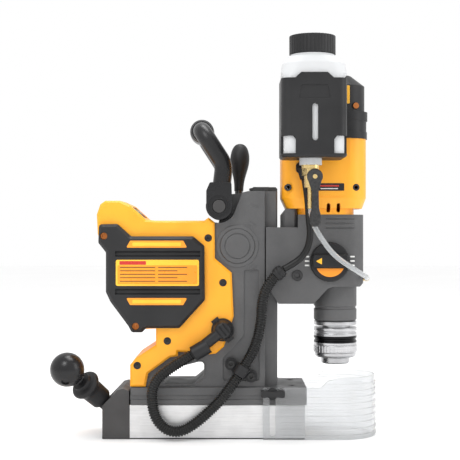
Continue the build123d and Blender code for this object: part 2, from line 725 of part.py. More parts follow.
# ---------------------------------------------------------------- gear case
case_half, case_top, case_front = 38.0, 256.0, 168.5
cavity_low, cavity_x = 190.0, (96.0, 164.5)
motor_x = 118.0
spindle_r, nose_r = 10.0, 25.0
dial_place, dial_r = (128.2, 202.0), 22.6
case_screw_places = ((91.1, 186.4),)
with BuildPart() as gear_case:
    with BuildSketch(side(-case_half)):
        Polygon(
            (55.4, 241.5), (92, 241.5), (92, case_top), (case_front, case_top), (case_front, 178),
            (163.5, 173.5), (131, 173.5), (125.6, 171), (109.8, 154), (69.8, 154), (60, 169),
            (55.4, 178), align=None,
        )
    extrude(amount=-2 * case_half)
    fillet(gear_case.edges().filter_by(Axis.Z).group_by(Axis.X)[-1], 18)
    with BuildSketch(Plane.XY.offset(150)):
        with Locations((60, 0)):
            Rectangle(19.2, 2 * rail_half + 1)
    extrude(amount=100, mode=Mode.SUBTRACT)
    # bevelled band along the lower edge of each flank
    for y in (-1, 1):
        with BuildSketch(Plane.YZ.offset(50)):
            Polygon(
                (y * (case_half + 1), 150), (y * (case_half - 3.5), 150), (y * (case_half + 1), 157.5),
                align=None,
            )
        extrude(amount=70, mode=Mode.SUBTRACT)
    with BuildSketch(Plane.XY.offset(cavity_low)):
        with Locations(((cavity_x[0] + cavity_x[1]) / 2, 0)):
            RectangleRounded(cavity_x[1] - cavity_x[0], 70, 16)
    extrude(amount=70, mode=Mode.SUBTRACT)
    with BuildSketch(Plane.XY.offset(170)):
        with Locations((spindle_x, 0)):
            Circle(16)
    extrude(amount=30, mode=Mode.SUBTRACT)
    with BuildSketch(Plane.XY.offset(150)):
        with Locations((spindle_x, 0)):
            Circle(nose_r)
    extrude(amount=23.5, mode=Mode.SUBTRACT)
    for y, amount in ((-case_half, -1.2), (case_half, 1.2)):
        with BuildSketch(side(y)):
            with Locations((140, 246)):
                with GridLocations(1, 5.2, 1, 3):
                    SlotOverall(34, 2.2)
        extrude(amount=amount, mode=Mode.SUBTRACT)
    # bore for the dial's stem, and seats for the case screws
    with BuildSketch(side(-case_half)):
        with Locations(dial_place):
            Circle(5.1)
    extrude(amount=-6, mode=Mode.SUBTRACT)
    with BuildSketch(side(-case_half)):
        with Locations(*case_screw_places):
            Circle(6.2)
    extrude(amount=-2, mode=Mode.SUBTRACT)
finish(gear_case, "gear_case")

with BuildPart() as nose:
    with BuildSketch(spindle_section):
        with BuildLine():
            Polyline(
                (16, 173.5), (nose_r, 173.5), (nose_r, 150), (nose_r - 1.2, 149), (nose_r - 1.2, 147),
                (nose_r, 146), (nose_r, 134), (nose_r - 1.6, 132.4), (spindle_r + 1, 132.4),
                (spindle_r + 1, 146), (16, 146), (16, 173.5),
            )
        make_face()
    revolve(axis=spindle_axis)
finish(nose, "nose")

# ---------------------------------------------------------------- gear train
layshaft = (121.7, 17.6)


def gear_outline(centre, radius, teeth, phase):
    """Gear blank and short teeth of module 1; phase is the angle of its first tooth."""
    with Locations(centre):
        Circle(radius - 0.9)
        with PolarLocations(radius - 1.1, teeth, start_angle=phase):
            Polygon((0, -0.85), (1.7, -0.35), (1.7, 0.35), (0, 0.85), align=None)


lay_to_spindle = degrees(atan2(-layshaft[1], spindle_x - layshaft[0]))
lay_to_rotor = degrees(atan2(-layshaft[1], motor_x - layshaft[0]))
lay_gear_phase = lay_to_rotor + 180 / 28
with BuildPart() as layshaft_gear:
    with BuildSketch(Plane.XY.offset(195)):
        gear_outline(layshaft, 5.5, 11, lay_to_spindle)
    extrude(amount=20)
    with BuildSketch(Plane.XY.offset(215)):
        gear_outline(layshaft, 14, 28, lay_gear_phase)
    extrude(amount=8)
    with BuildSketch(Plane.XY.offset(190.3)):
        with Locations(layshaft):
            Circle(2.5)
    extrude(amount=56)
finish(layshaft_gear, "layshaft_gear")

with BuildPart() as spindle:
    with BuildSketch(Plane.XY.offset(131.7)):
        with Locations((spindle_x, 0)):
            Circle(spindle_r)
    extrude(amount=82)
    with BuildSketch(Plane.XY.offset(131.7 + 82)):
        with Locations((spindle_x, 0)):
            Circle(4.4)
    extrude(amount=39)
    with BuildSketch(Plane.XY.offset(196)):
        gear_outline((spindle_x, 0), 18.5, 37, lay_to_spindle + 180 + 180 / 37)
    extrude(amount=9)
finish(spindle, "spindle")

# ---------------------------------------------------------------- quick-change chuck
arbor_r, chuck_low, chuck_top = 9.53, 82.4, 131.7
sleeve_low, sleeve_top = 95.4, 125.0
with BuildPart() as chuck_body:
    with BuildSketch(spindle_section):
        with BuildLine():
            Polyline(
                (arbor_r, chuck_low), (15.3, chuck_low), (16.5, chuck_low + 1.4), (16.5, 89), (22, 90),
                (24.2, 92.2), (24.2, sleeve_low - 0.2), (17, sleeve_low - 0.2), (17, 127.8),
                (nose_r, 127.8), (nose_r, chuck_top), (arbor_r, chuck_top), (arbor_r, chuck_low),
            )
        make_face()
    revolve(axis=spindle_axis)
finish(chuck_body, "chuck_body")

with BuildPart() as chuck_sleeve:
    with BuildSketch(spindle_section):
        with BuildLine():
            Polyline(
                (17.4, sleeve_low), (nose_r - 0.4, sleeve_low), (nose_r + 0.4, sleeve_low + 0.8),
                (nose_r + 0.4, 103.4), (nose_r - 0.2, 104.2), (nose_r + 0.2, 104.8),
                (nose_r + 0.2, 109), (nose_r - 0.8, 110),
                (nose_r - 0.8, 111.5), (nose_r + 0.2, 112.5), (nose_r + 0.2, 118), (nose_r - 0.8, 119),
                (nose_r - 0.8, 120.2), (nose_r + 0.2, 121.2), (nose_r + 0.2, 124),
                (nose_r - 0.8, sleeve_top), (17.4, sleeve_top), (17.4, sleeve_low),
            )
        make_face()
    revolve(axis=spindle_axis)
    # grip flutes round the lower ring
    with BuildSketch(Plane.XY.offset(sleeve_low)):
        with Locations((spindle_x, 0)):
            with PolarLocations(nose_r + 0.9, 36):
                Circle(0.9)
    extrude(amount=8.4, mode=Mode.SUBTRACT)
finish(chuck_sleeve, "chuck_sleeve")

# ---------------------------------------------------------------- motor housing, in two halves
motor_low, motor_high = 256.0, 343.0
motor_middle, motor_length, motor_half = 122.8, 97.4, 44.0
motor_screw_places = ((80.4, 287), (157.9, 287))
vent_places = ((126.6, 263.7), (137.9, 263.7))


def motor_half_shell():
    """Hollow half of the motor housing, for the near side."""
    with BuildPart() as half_shell:
        with BuildSketch(Plane.XY.offset(275)):
            with Locations((motor_middle, 0)):
                RectangleRounded(motor_length, 2 * motor_half, 24)
        extrude(amount=motor_high - 275)
        with BuildSketch(Plane.XY.offset(275)):
            with Locations((motor_middle, 0)):
                RectangleRounded(motor_length, 2 * motor_half, 24)
        with BuildSketch(Plane.XY.offset(263)):
            with Locations((motor_middle + 0.6, 0)):
                RectangleRounded(motor_length - 10, 2 * motor_half - 7, 22)
        loft()
        with BuildSketch(Plane.XY.offset(263)):
            with Locations((124.5, 0)):
                RectangleRounded(66, 2 * motor_half - 13, 18)
        extrude(amount=motor_low - 263)
        with BuildSketch(Plane.XY.offset(motor_low + wall)):
            with Locations((motor_middle, 0)):
                RectangleRounded(60, 2 * motor_half - 19, 15)
        extrude(amount=20, mode=Mode.SUBTRACT)
        with BuildSketch(Plane.XY.offset(276)):
            with Locations((motor_middle, 0)):
                RectangleRounded(motor_length - 2 * wall, 2 * motor_half - 2 * wall, 21)
        extrude(amount=motor_high - 276, mode=Mode.SUBTRACT)
        with BuildSketch(Plane.XY.offset(motor_low)):
            with Locations((motor_x, 0)):
                Circle(9)
        extrude(amount=wall, mode=Mode.SUBTRACT)
        # raised side panel, air slots and screw seats
        with BuildSketch(side(-motor_half)):
            Polygon(
                (95, 277), (95, 339), (150.6, 339), (150.6, 310), (146, 301), (146, 277), align=None
            )
            fillet(vertices(), 2)
        extrude(amount=1.2)
        with BuildSketch(side(-motor_half - 2)):
            with Locations(*vent_places):
                SlotOverall(10.4, 4.2, rotation=90)
        extrude(amount=-16, mode=Mode.SUBTRACT)
        with BuildSketch(side(-motor_half - 2)):
            with Locations(*motor_screw_places):
                Circle(4)
        extrude(amount=-17, mode=Mode.SUBTRACT)
        with BuildSketch(Plane.XY.offset(240)):
            with Locations((motor_middle, 60)):
                Rectangle(140, 120)
        extrude(amount=120, mode=Mode.SUBTRACT)
    return half_shell.part


with BuildPart() as motor_near:
    add(motor_half_shell())
finish(motor_near, "motor_housing_near")

with BuildPart() as motor_far:
    add(mirror(motor_near.part, about=Plane.XZ, mode=Mode.PRIVATE))
finish(motor_far, "motor_housing_far")

with BuildPart() as drill_screws:
    motor_seat = side(-motor_half + 5)
    with BuildSketch(motor_seat):
        with Locations(*motor_screw_places):
            Circle(3.9)
            RegularPolygon(2.2, 6, mode=Mode.SUBTRACT)
    extrude(amount=3)
    mirror(about=Plane.XZ)
    with BuildSketch(side(-case_half + 2)):
        with Locations(*case_screw_places):
            Circle(6)
            RegularPolygon(3.2, 6, mode=Mode.SUBTRACT)
    extrude(amount=3)
finish(drill_screws, "drill_screws")

# dark cap over the motor, stepped towards the top
with BuildPart() as motor_cap:
    for low, high, length, width, radius in (
        (motor_high, 351, 98.4, 90, 25), (351, 364, 97.0, 88.4, 25), (364, 374, 99.6, 89, 26),
        (374, 404, 93, 86, 26),
    ):
        with BuildSketch(Plane.XY.offset(low)):
            with Locations((motor_middle + 0.8, 0)):
                RectangleRounded(length, width, radius)
        extrude(amount=high - low)
    with BuildSketch(Plane.XY.offset(404)):
        with Locations((motor_middle + 0.8, 0)):
            RectangleRounded(93, 86, 26)
    with BuildSketch(Plane.XY.offset(416.5)):
        with Locations((motor_middle - 1, 0)):
            RectangleRounded(67, 64, 20)
    loft()
    with BuildSketch(Plane.XY.offset(motor_high)):
        with Locations((motor_middle, 0)):
            RectangleRounded(86, 78, 21)
    extrude(amount=55, mode=Mode.SUBTRACT)
    # bridge across the inside for the upper bearing
    with BuildSketch(Plane.XY.offset(366)):
        with Locations((motor_middle, 0)):
            Rectangle(88, 26)
        with Locations((motor_x, 0)):
            Circle(11, mode=Mode.SUBTRACT)
    extrude(amount=6)
    for x in range(-3, 4):
        with BuildSketch(side(50)):
            with Locations((motor_middle + 8 * x, 389)):
                SlotOverall(16, 3.4, rotation=90)
        extrude(amount=10, mode=Mode.SUBTRACT)
    with BuildSketch(side(-50)):
        with Locations((157.7, 380)):
            Circle(4)
    extrude(amount=-14, mode=Mode.SUBTRACT)
finish(motor_cap, "motor_cap")

with BuildPart() as stator:
    with BuildSketch(Plane.XY.offset(283)):
        with Locations((motor_x, 0)):
            Circle(33)
            Circle(22.2, mode=Mode.SUBTRACT)
            with PolarLocations(24, 6):
                Rectangle(6, 5, mode=Mode.SUBTRACT)
    extrude(amount=50)
finish(stator, "stator")

# rotor core, fan, and the shaft whose lower end is the driving pinion
with BuildPart() as motor_rotor:
    with BuildSketch(Plane.XY.offset(286)):
        with Locations((motor_x, 0)):
            Circle(21.6)
    extrude(amount=44)
    with BuildSketch(Plane.XY.offset(210)):
        gear_outline((motor_x, 0), 4, 8, lay_to_rotor + 180)
    extrude(amount=16)
    with BuildSketch(Plane.XY.offset(226)):
        with Locations((motor_x, 0)):
            Circle(4)
    extrude(amount=150)
    with BuildSketch(Plane.XY.offset(340)):
        with Locations((motor_x, 0)):
            Circle(12)
            with PolarLocations(22, 9):
                Rectangle(22, 2)
    extrude(amount=14)
    with BuildSketch(Plane.XY.offset(338)):
        with Locations((motor_x, 0)):
            Circle(33)
    extrude(amount=2)
finish(motor_rotor, "motor_rotor")

with BuildPart() as drive_bearings:
    for x, z, outer, inner, height in (
        (spindle_x, 148, 15.98, spindle_r, 10), (spindle_x, 176, 15.98, spindle_r, 10),
        (motor_x, motor_low, 8.98, 4, 6), (motor_x, 366, 11, 4, 6),
    ):
        with BuildSketch(Plane.XY.offset(z)):
            with Locations((x, 0)):
                Circle(outer)
                Circle(inner + 0.04, mode=Mode.SUBTRACT)
        extrude(amount=height)
finish(drive_bearings, "drive_bearings")

# stay that ties the motor housing to the slide behind it
with BuildPart() as motor_stay:
    with BuildSketch(side(-30)):
        Polygon((74.5, 241.5), (91.4, 241.5), (91.4, 262.9), (80, 262.9), (74.5, 256), align=None)
    extrude(amount=-60)
    chamfer(motor_stay.edges().filter_by(Axis.Z), 3)
finish(motor_stay, "motor_stay")

# ---------------------------------------------------------------- speed selector
with BuildPart() as selector_dial:
    with BuildSketch(side(-case_half - gap)):
        with Locations(dial_place):
            Circle(dial_r)
    extrude(amount=5)
    chamfer(selector_dial.edges().group_by(Axis.Y)[0], 1.2)
    with BuildSketch(side(-case_half - gap - 5)):
        with Locations(dial_place):
            with PolarLocations(dial_r + 1.2, 24):
                Circle(1.9)
    extrude(amount=-4, mode=Mode.SUBTRACT)
    with BuildSketch(side(-case_half - gap - 5)):
        with Locations((dial_place[0], dial_place[1] + 1)):
            Rectangle(40, 15)
            fillet(vertices(), 3)
    extrude(amount=5.5)
    fillet(selector_dial.faces().sort_by(Axis.Y)[0].edges(), 1.4)
    with BuildSketch(side(-case_half)):
        with Locations(dial_place):
            Circle(5.04)
    extrude(amount=-6)
    with BuildSketch(side(-case_half - gap)):
        with Locations(dial_place):
            Circle(5.04)
    extrude(amount=-gap)
finish(selector_dial, "selector_dial")

# ---------------------------------------------------------------- coolant bottle in its holder
bottle_x, bottle_y = 105.25, -80.0
holder_low, holder_high = 317.0, 402.5
outlet = (103.0, -84.0)
with BuildPart() as bottle_holder:
    with BuildSketch(Plane.XY.offset(holder_low)):
        with Locations((bottle_x, bottle_y)):
            RectangleRounded(71.5, 64, 10)
    extrude(amount=holder_high - holder_low)
    with BuildSketch(side(bottle_y - 32)):
        Polygon(
            (84.5, holder_high), (91, 408.4), (119.6, 408.4), (126, holder_high), (126, 396),
            (84.5, 396), align=None,
        )
    extrude(amount=-8)
    fillet(bottle_holder.faces().sort_by(Axis.Z)[0].edges(), 3)
    with BuildSketch(Plane.XY.offset(holder_low + 3)):
        with Locations((bottle_x, bottle_y)):
            RectangleRounded(66.5, 59, 8)
    extrude(amount=100, mode=Mode.SUBTRACT)
    with BuildSketch(side(bottle_y - 33)):
        with Locations((106, 355)):
            SlotOverall(40, 6.2, rotation=90)
    extrude(amount=-5, mode=Mode.SUBTRACT)
    # cut-away lower corners, with a web left below them
    with BuildSketch(side(bottle_y - 33)):
        Polygon((60, 340), (82, 340), (85, 336), (85, 321), (60, 321), align=None)
        Polygon((150, 340), (129.5, 340), (126.5, 336), (126.5, 321), (150, 321), align=None)
    extrude(amount=-14, mode=Mode.SUBTRACT)
    with BuildSketch(Plane.XY.offset(holder_low - 1)):
        with Locations(outlet):
            Circle(12.6)
    extrude(amount=6, mode=Mode.SUBTRACT)
    with BuildSketch(side(bottle_y + 32)):
        with Locations((105, 358)):
            Rectangle(26, 28)
    extrude(amount=-3)
    with BuildSketch(side(bottle_y - 32)):
        Polygon((88, 380), (123, 380), (120, 395), (91, 395), align=None)
        fillet(vertices(), 2)
    extrude(amount=-0.8, mode=Mode.SUBTRACT)
finish(bottle_holder, "bottle_holder")

with BuildPart() as coolant_bottle:
    with BuildSketch(Plane.XY.offset(holder_low + 3.2)):
        with Locations((bottle_x, bottle_y)):
            RectangleRounded(65.8, 58.4, 8)
    extrude(amount=82.5)
    with BuildSketch(Plane.XY.offset(402.7)):
        with Locations((bottle_x, bottle_y)):
            RectangleRounded(65.8, 58.4, 8)
    with BuildSketch(Plane.XY.offset(408)):
        with Locations((bottle_x + 1, bottle_y)):
            RectangleRounded(71.5, 58, 14)
    with BuildSketch(Plane.XY.offset(420)):
        with Locations((bottle_x + 1, bottle_y)):
            RectangleRounded(69, 57, 20)
    with BuildSketch(Plane.XY.offset(428)):
        with Locations((bottle_x, bottle_y)):
            RectangleRounded(56, 52, 22)
    loft(ruled=True)
    with BuildSketch(Plane.XY.offset(428)):
        with Locations((bottle_x, bottle_y)):
            Circle(24.5)
    extrude(amount=3)
    with BuildSketch(Plane.XY.offset(431)):
        with Locations((bottle_x, bottle_y)):
            Circle(20.5)
    extrude(amount=15)
    with BuildSketch(Plane.XY.offset(309.8)):
        with Locations(outlet):
            Circle(12.4)
    extrude(amount=12)
    with BuildSketch(Plane.XY.offset(holder_low + 5.2)):
        with Locations((bottle_x, bottle_y)):
            RectangleRounded(61.8, 54.4, 6)
    extrude(amount=82, mode=Mode.SUBTRACT)
    # rounder inside under the shoulders, so the wall stays whole at the corners
    with BuildSketch(Plane.XY.offset(holder_low + 87)):
        with Locations((bottle_x, bottle_y)):
            RectangleRounded(60, 48, 18)
    extrude(amount=15.5, mode=Mode.SUBTRACT)
    with BuildSketch(Plane.XY.offset(415)):
        with Locations((bottle_x, bottle_y)):
            Circle(18.5)
    extrude(amount=40, mode=Mode.SUBTRACT)
    with BuildSketch(Plane.XY.offset(305)):
        with Locations(outlet):
            Circle(6)
    extrude(amount=30, mode=Mode.SUBTRACT)
finish(coolant_bottle, "coolant_bottle")

with BuildPart() as bottle_cap:
    with BuildSketch(Plane.XY.offset(431.5)):
        with Locations((bottle_x, bottle_y)):
            Circle(25.5)
            with PolarLocations(26.1, 40):
                Circle(1.1, mode=Mode.SUBTRACT)
    extrude(amount=20.4)
    fillet(bottle_cap.faces().sort_by(Axis.Z)[-1].outer_wire().edges(), 0.6)
    with BuildSketch(Plane.XY.offset(431.5)):
        with Locations((bottle_x, bottle_y)):
            Circle(21)
    extrude(amount=17, mode=Mode.SUBTRACT)
finish(bottle_cap, "bottle_cap")

with BuildPart() as coolant_valve:
    with BuildSketch(Plane.XY.offset(306)):
        with Locations(outlet):
            Circle(10)
    extrude(amount=3.8)
    with BuildSketch(Plane.XY.offset(298)):
        with Locations(outlet):
            RegularPolygon(9.4, 6)
    extrude(amount=8)
    with BuildSketch(Plane.XY.offset(285)):
        with Locations(outlet):
            Circle(7.2)
    extrude(amount=13)
    with BuildSketch(Plane.XY.offset(262)):
        with Locations(outlet):
            Circle(3.6)
    extrude(amount=23)
    with BuildSketch(side(outlet[1])):
        with Locations((106.8, 296.7)):
            Circle(4.6)
    extrude(amount=9.5)
    with BuildSketch(side(outlet[1])):
        with Locations((106.8, 296.7)):
            Circle(2.46)
    extrude(amount=15)
finish(coolant_valve, "coolant_valve")

with BuildPart() as valve_lever:
    with BuildSketch(side(outlet[1] - 9.9)):
        with Locations((106.8, 296.7)):
            Circle(8.6)
        Polygon(
            (99.6, 292), (103.6, 280), (103.2, 262), (101, 254), (101, 246), (104, 242), (110, 242),
            (113.2, 246), (113.2, 254), (111.2, 262), (110.8, 280), (114, 292), align=None,
        )
        with Locations((106.8, 296.7)):
            Circle(2.5, mode=Mode.SUBTRACT)
    extrude(amount=4.4)
    chamfer(valve_lever.faces().sort_by(Axis.Y)[0].outer_wire().edges(), 0.8)
finish(valve_lever, "valve_lever")

elbow_x = 173.6
with BuildPart() as coolant_elbow:
    with BuildSketch(Plane.YZ.offset(case_front)):
        with Locations((0, 182)):
            Circle(5.5)
    extrude(amount=1.2)
    with BuildSketch(Plane.YZ.offset(case_front)):
        with Locations((0, 182)):
            Circle(3.4)
    extrude(amount=elbow_x - case_front + 3.4)
    with BuildSketch(side(3.4)):
        with Locations((elbow_x, 182)):
            Circle(3.4)
    extrude(amount=14)
finish(coolant_elbow, "coolant_elbow")

# ---------------------------------------------------------------- conduit, cable and coolant tube
def corner_radii(points):
    """Largest tangent arcs that the runs beside each corner allow."""
    radii = []
    for before, corner, after in zip(points, points[1:], points[2:]):
        into, out = Vector(*corner) - Vector(*before), Vector(*after) - Vector(*corner)
        half_turn = radians(into.get_angle(out)) / 2
        radii.append(0.45 * min(into.length, out.length) / tan(half_turn))
    return radii


def route_tube(name, points, outer, inner=0.0):
    """Tube of straight runs and tangent arcs along the route."""
    radii = corner_radii(points)
    with BuildPart() as tube:
        with BuildLine() as path:
            FilletPolyline(*points, radius=radii)
        with BuildSketch(Plane(origin=points[0], z_dir=Vector(*points[1]) - Vector(*points[0]))):
            Circle(outer)
            if inner:
                Circle(inner, mode=Mode.SUBTRACT)
        sweep()
    section = pi * (outer**2 - inner**2)
    length = sum(edge.length for edge in path.edges())
    print(name, "radii", [round(r, 1) for r in radii], "length", round(length, 1),
          "volume ratio", round(tube.part.volume / (section * length), 4))
    finish(tube, name)


clamp_out = clamp_centre + clamp_along * 8
above_clamp = clamp_centre + clamp_along * 27
conduit_lower_route = [
    tuple(conduit_start), tuple(conduit_first), (-73.9, -54.5, 62.5), (-73.5, -54.5, 38),
    (-66.5, -54, 20), (-51.5, -54, 9.8), (-33, -53.5, 13.5), (-8, -52.5, 34), (12, -50, 55),
    tuple(clamp_out),
]
conduit_upper_route = [
    tuple(clamp_out), tuple(above_clamp), (49.5, -50, 130), (50.5, -50.5, 160), (57, -50.5, 176.5),
    (66, -50.5, 186.5),
]
cable_route = [
    (74.5, -51, 194), (88, -52, 201), (100, -53, 212.5), (105.5, -53.5, 231), (103, -53.5, 253),
    (102, -53.5, 275), (98.5, -52.5, 296),
]
route_tube("conduit_lower", conduit_lower_route, conduit_r, 4.6)
route_tube("conduit_upper", conduit_upper_route, conduit_r, 4.6)
route_tube("drill_cable", cable_route, cable_r)

sleeve_from, sleeve_to = Vector(*conduit_upper_route[-1]), Vector(*cable_route[0])
with BuildPart() as conduit_ferrule:
    with BuildSketch(Plane(origin=sleeve_from, z_dir=sleeve_to - sleeve_from)):
        Circle(7.9)
    extrude(amount=(sleeve_to - sleeve_from).length)
finish(conduit_ferrule, "conduit_ferrule")

boot_from = Vector(*cable_route[-1])
boot_along = (boot_from - Vector(*cable_route[-2])).normalized()
with BuildPart() as cable_boot:
    with BuildSketch(Plane(origin=boot_from, z_dir=boot_along)):
        Circle(5)
    with BuildSketch(Plane(origin=boot_from + boot_along * 13, z_dir=boot_along)):
        Circle(6.4)
    loft()
    with BuildSketch(side(-motor_half - 1.2)):
        with Locations((boot_from.X - 2, boot_from.Z + 13)):
            RectangleRounded(15, 12, 4)
    extrude(amount=8)
finish(cable_boot, "cable_boot")

coolant_route = [
    (outlet[0], outlet[1], 262), (104.6, -84, 247), (113.5, -84, 231), (128, -83, 211),
    (148, -78, 197), (161, -66, 189.5), (171, -43, 184), (elbow_x, -10.6, 182),
]
route_tube("coolant_tube", coolant_route, 2.9, 1.9)

# ---------------------------------------------------------------- clear guard
guard_wall, guard_inner = 2.2, 42.6
guard_back, guard_high, rib_pitch = 51.8, 70.0, 7.2


def guard_outline(grow):
    """U outline round the cutter: straight sides, and a half circle about the spindle."""
    with Locations((spindle_x + 1.6, 0)):
        Circle(guard_inner + grow)
    with Locations(((guard_back + spindle_x + 1.6) / 2, 0)):
        Rectangle(spindle_x + 1.6 - guard_back, 2 * (guard_inner + grow))


with BuildPart() as guard_shield:
    with BuildSketch(Plane.XY):
        guard_outline(guard_wall)
    extrude(amount=guard_high)
    for k in range(9):
        with BuildSketch(Plane.XY.offset(2.2 + k * rib_pitch)):
            guard_outline(guard_wall + 1.3)
        extrude(amount=3)
    # no ribs on the mounting tabs
    for y in (-1, 1):
        with BuildSketch(Plane.XY):
            with Locations((guard_back + 9.2, y * (guard_inner + guard_wall + 5))):
                Rectangle(21, 10)
        extrude(amount=80, mode=Mode.SUBTRACT)
    with BuildSketch(Plane.XY):
        guard_outline(0)
        with Locations((guard_back - 5, 0)):
            Rectangle(10, 2 * guard_inner)
    extrude(amount=80, mode=Mode.SUBTRACT)
    # the sides are lower than the front
    with BuildSketch(side(-60)):
        Polygon((40, 58.9), (117.7, 58.9), (126, 66.5), (140, 70.1), (140, 80), (40, 80), align=None)
    extrude(amount=-120, mode=Mode.SUBTRACT)
    # slots for the studs
    with BuildSketch(side(-60)):
        with Locations((knob_place[0], 30.2)):
            SlotOverall(53, 6.8, rotation=90)
    extrude(amount=-120, mode=Mode.SUBTRACT)
finish(guard_shield, "guard_shield")

for name, facing in (("thumb_screw_near", -1), ("thumb_screw_far", 1)):
    with BuildPart() as thumb_screw:
        with BuildSketch(side(facing * (guard_inner + guard_wall + 1.5))):
            with Locations(knob_place):
                Circle(6.4)
        extrude(amount=-facing * 4.5)
        with BuildSketch(side(facing * (guard_inner + guard_wall + 2.8))):
            with Locations(knob_place):
                Polygon(
                    (-13.5, -3), (-11, -4.5), (0, -2.6), (11, -4.5), (13.5, -3), (13.5, 3), (11, 4.5),
                    (0, 2.6), (-11, 4.5), (-13.5, 3), align=None,
                )
                fillet(vertices(), 1)
        extrude(amount=-facing * 6.5)
        with BuildSketch(side(facing * base_half)):
            with Locations(knob_place):
                Circle(stud_r + 0.05)
        extrude(amount=-facing * (stud_end + 0.1 - base_half), mode=Mode.SUBTRACT)
    finish(thumb_screw, name)
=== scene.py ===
"""Looks of the magnetic drill press: materials for its CAD nodes, and the trim, hoses and cables.

Everything is in metres, in the CAD's frame: origin at the centre of the magnet's face, +X to the drill.
"""
from math import cos, pi, radians, sin

import bmesh
import bpy
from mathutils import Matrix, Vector


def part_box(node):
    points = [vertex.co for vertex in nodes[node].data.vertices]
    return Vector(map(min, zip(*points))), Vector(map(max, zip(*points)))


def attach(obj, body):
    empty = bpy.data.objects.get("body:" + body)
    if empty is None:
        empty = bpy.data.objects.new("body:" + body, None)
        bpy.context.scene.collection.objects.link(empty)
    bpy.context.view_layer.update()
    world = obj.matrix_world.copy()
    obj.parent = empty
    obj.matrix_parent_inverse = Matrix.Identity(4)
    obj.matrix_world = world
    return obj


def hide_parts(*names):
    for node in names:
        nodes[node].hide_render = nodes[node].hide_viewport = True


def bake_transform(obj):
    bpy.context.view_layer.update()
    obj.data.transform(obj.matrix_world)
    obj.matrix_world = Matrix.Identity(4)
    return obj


mm = 0.001
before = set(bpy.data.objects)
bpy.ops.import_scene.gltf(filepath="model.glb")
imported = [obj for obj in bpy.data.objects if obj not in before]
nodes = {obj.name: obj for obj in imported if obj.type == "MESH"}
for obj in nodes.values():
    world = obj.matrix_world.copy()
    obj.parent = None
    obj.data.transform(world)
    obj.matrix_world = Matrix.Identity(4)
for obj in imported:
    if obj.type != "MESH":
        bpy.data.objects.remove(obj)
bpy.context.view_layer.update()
scene = bpy.context.scene
scene.view_settings.view_transform = "Standard"


